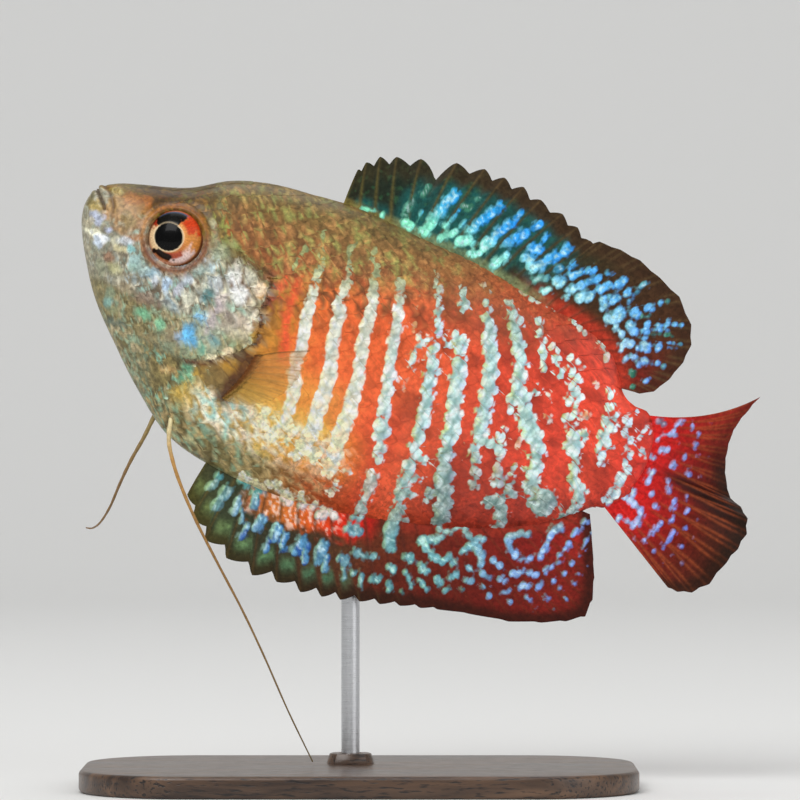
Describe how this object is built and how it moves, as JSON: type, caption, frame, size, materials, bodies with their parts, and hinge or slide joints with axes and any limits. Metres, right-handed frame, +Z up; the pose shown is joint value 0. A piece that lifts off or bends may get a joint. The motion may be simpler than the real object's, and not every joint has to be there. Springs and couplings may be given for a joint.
{
  "type": "dwarf gourami model",
  "caption": "Life-size model of a male dwarf gourami swimming nose up, with spread fins and thread-like pelvic feelers, on a flat base with one rod.",
  "frame": {"origin": "centre of the stand base's underside", "axes": "+Z up, -X towards the fish's head, -Y towards its left side"},
  "size_m": [0.0742, 0.036, 0.0682],
  "materials": {
    "head_skin": "moist skin with small scales, olive brown above and silver blue below",
    "flank_scales": "glossy overlapping scales, red with upright pale blue bars",
    "fin": "ribbed fin skin, red brown with light blue spots",
    "clear_fin": "thin clear fin skin with fine rays",
    "feeler": "smooth tapering thread, cream at the root and brown at the tip",
    "eye": "wet glossy eye, red and gold iris round a black pupil",
    "base_wood": "dark satin walnut",
    "rod_steel": "fine brushed, satin"
  },
  "bodies": {
    "root": {"head": "head_skin", "jaw_upper": "head_skin", "jaw_lower": "head_skin", "gill_cover_left": "head_skin", "gill_cover_right": "head_skin", "eye_left": "eye", "eye_right": "eye", "trunk": "flank_scales", "tail_stalk": "flank_scales", "dorsal_fin": "fin", "anal_fin": "fin", "caudal_fin": "fin", "pectoral_fin_left": "clear_fin", "pectoral_fin_right": "clear_fin", "pelvic_feeler_left": "feeler", "pelvic_feeler_right": "feeler", "stand_base": "base_wood", "stand_rod": "rod_steel"}
  },
  "joints": []
}
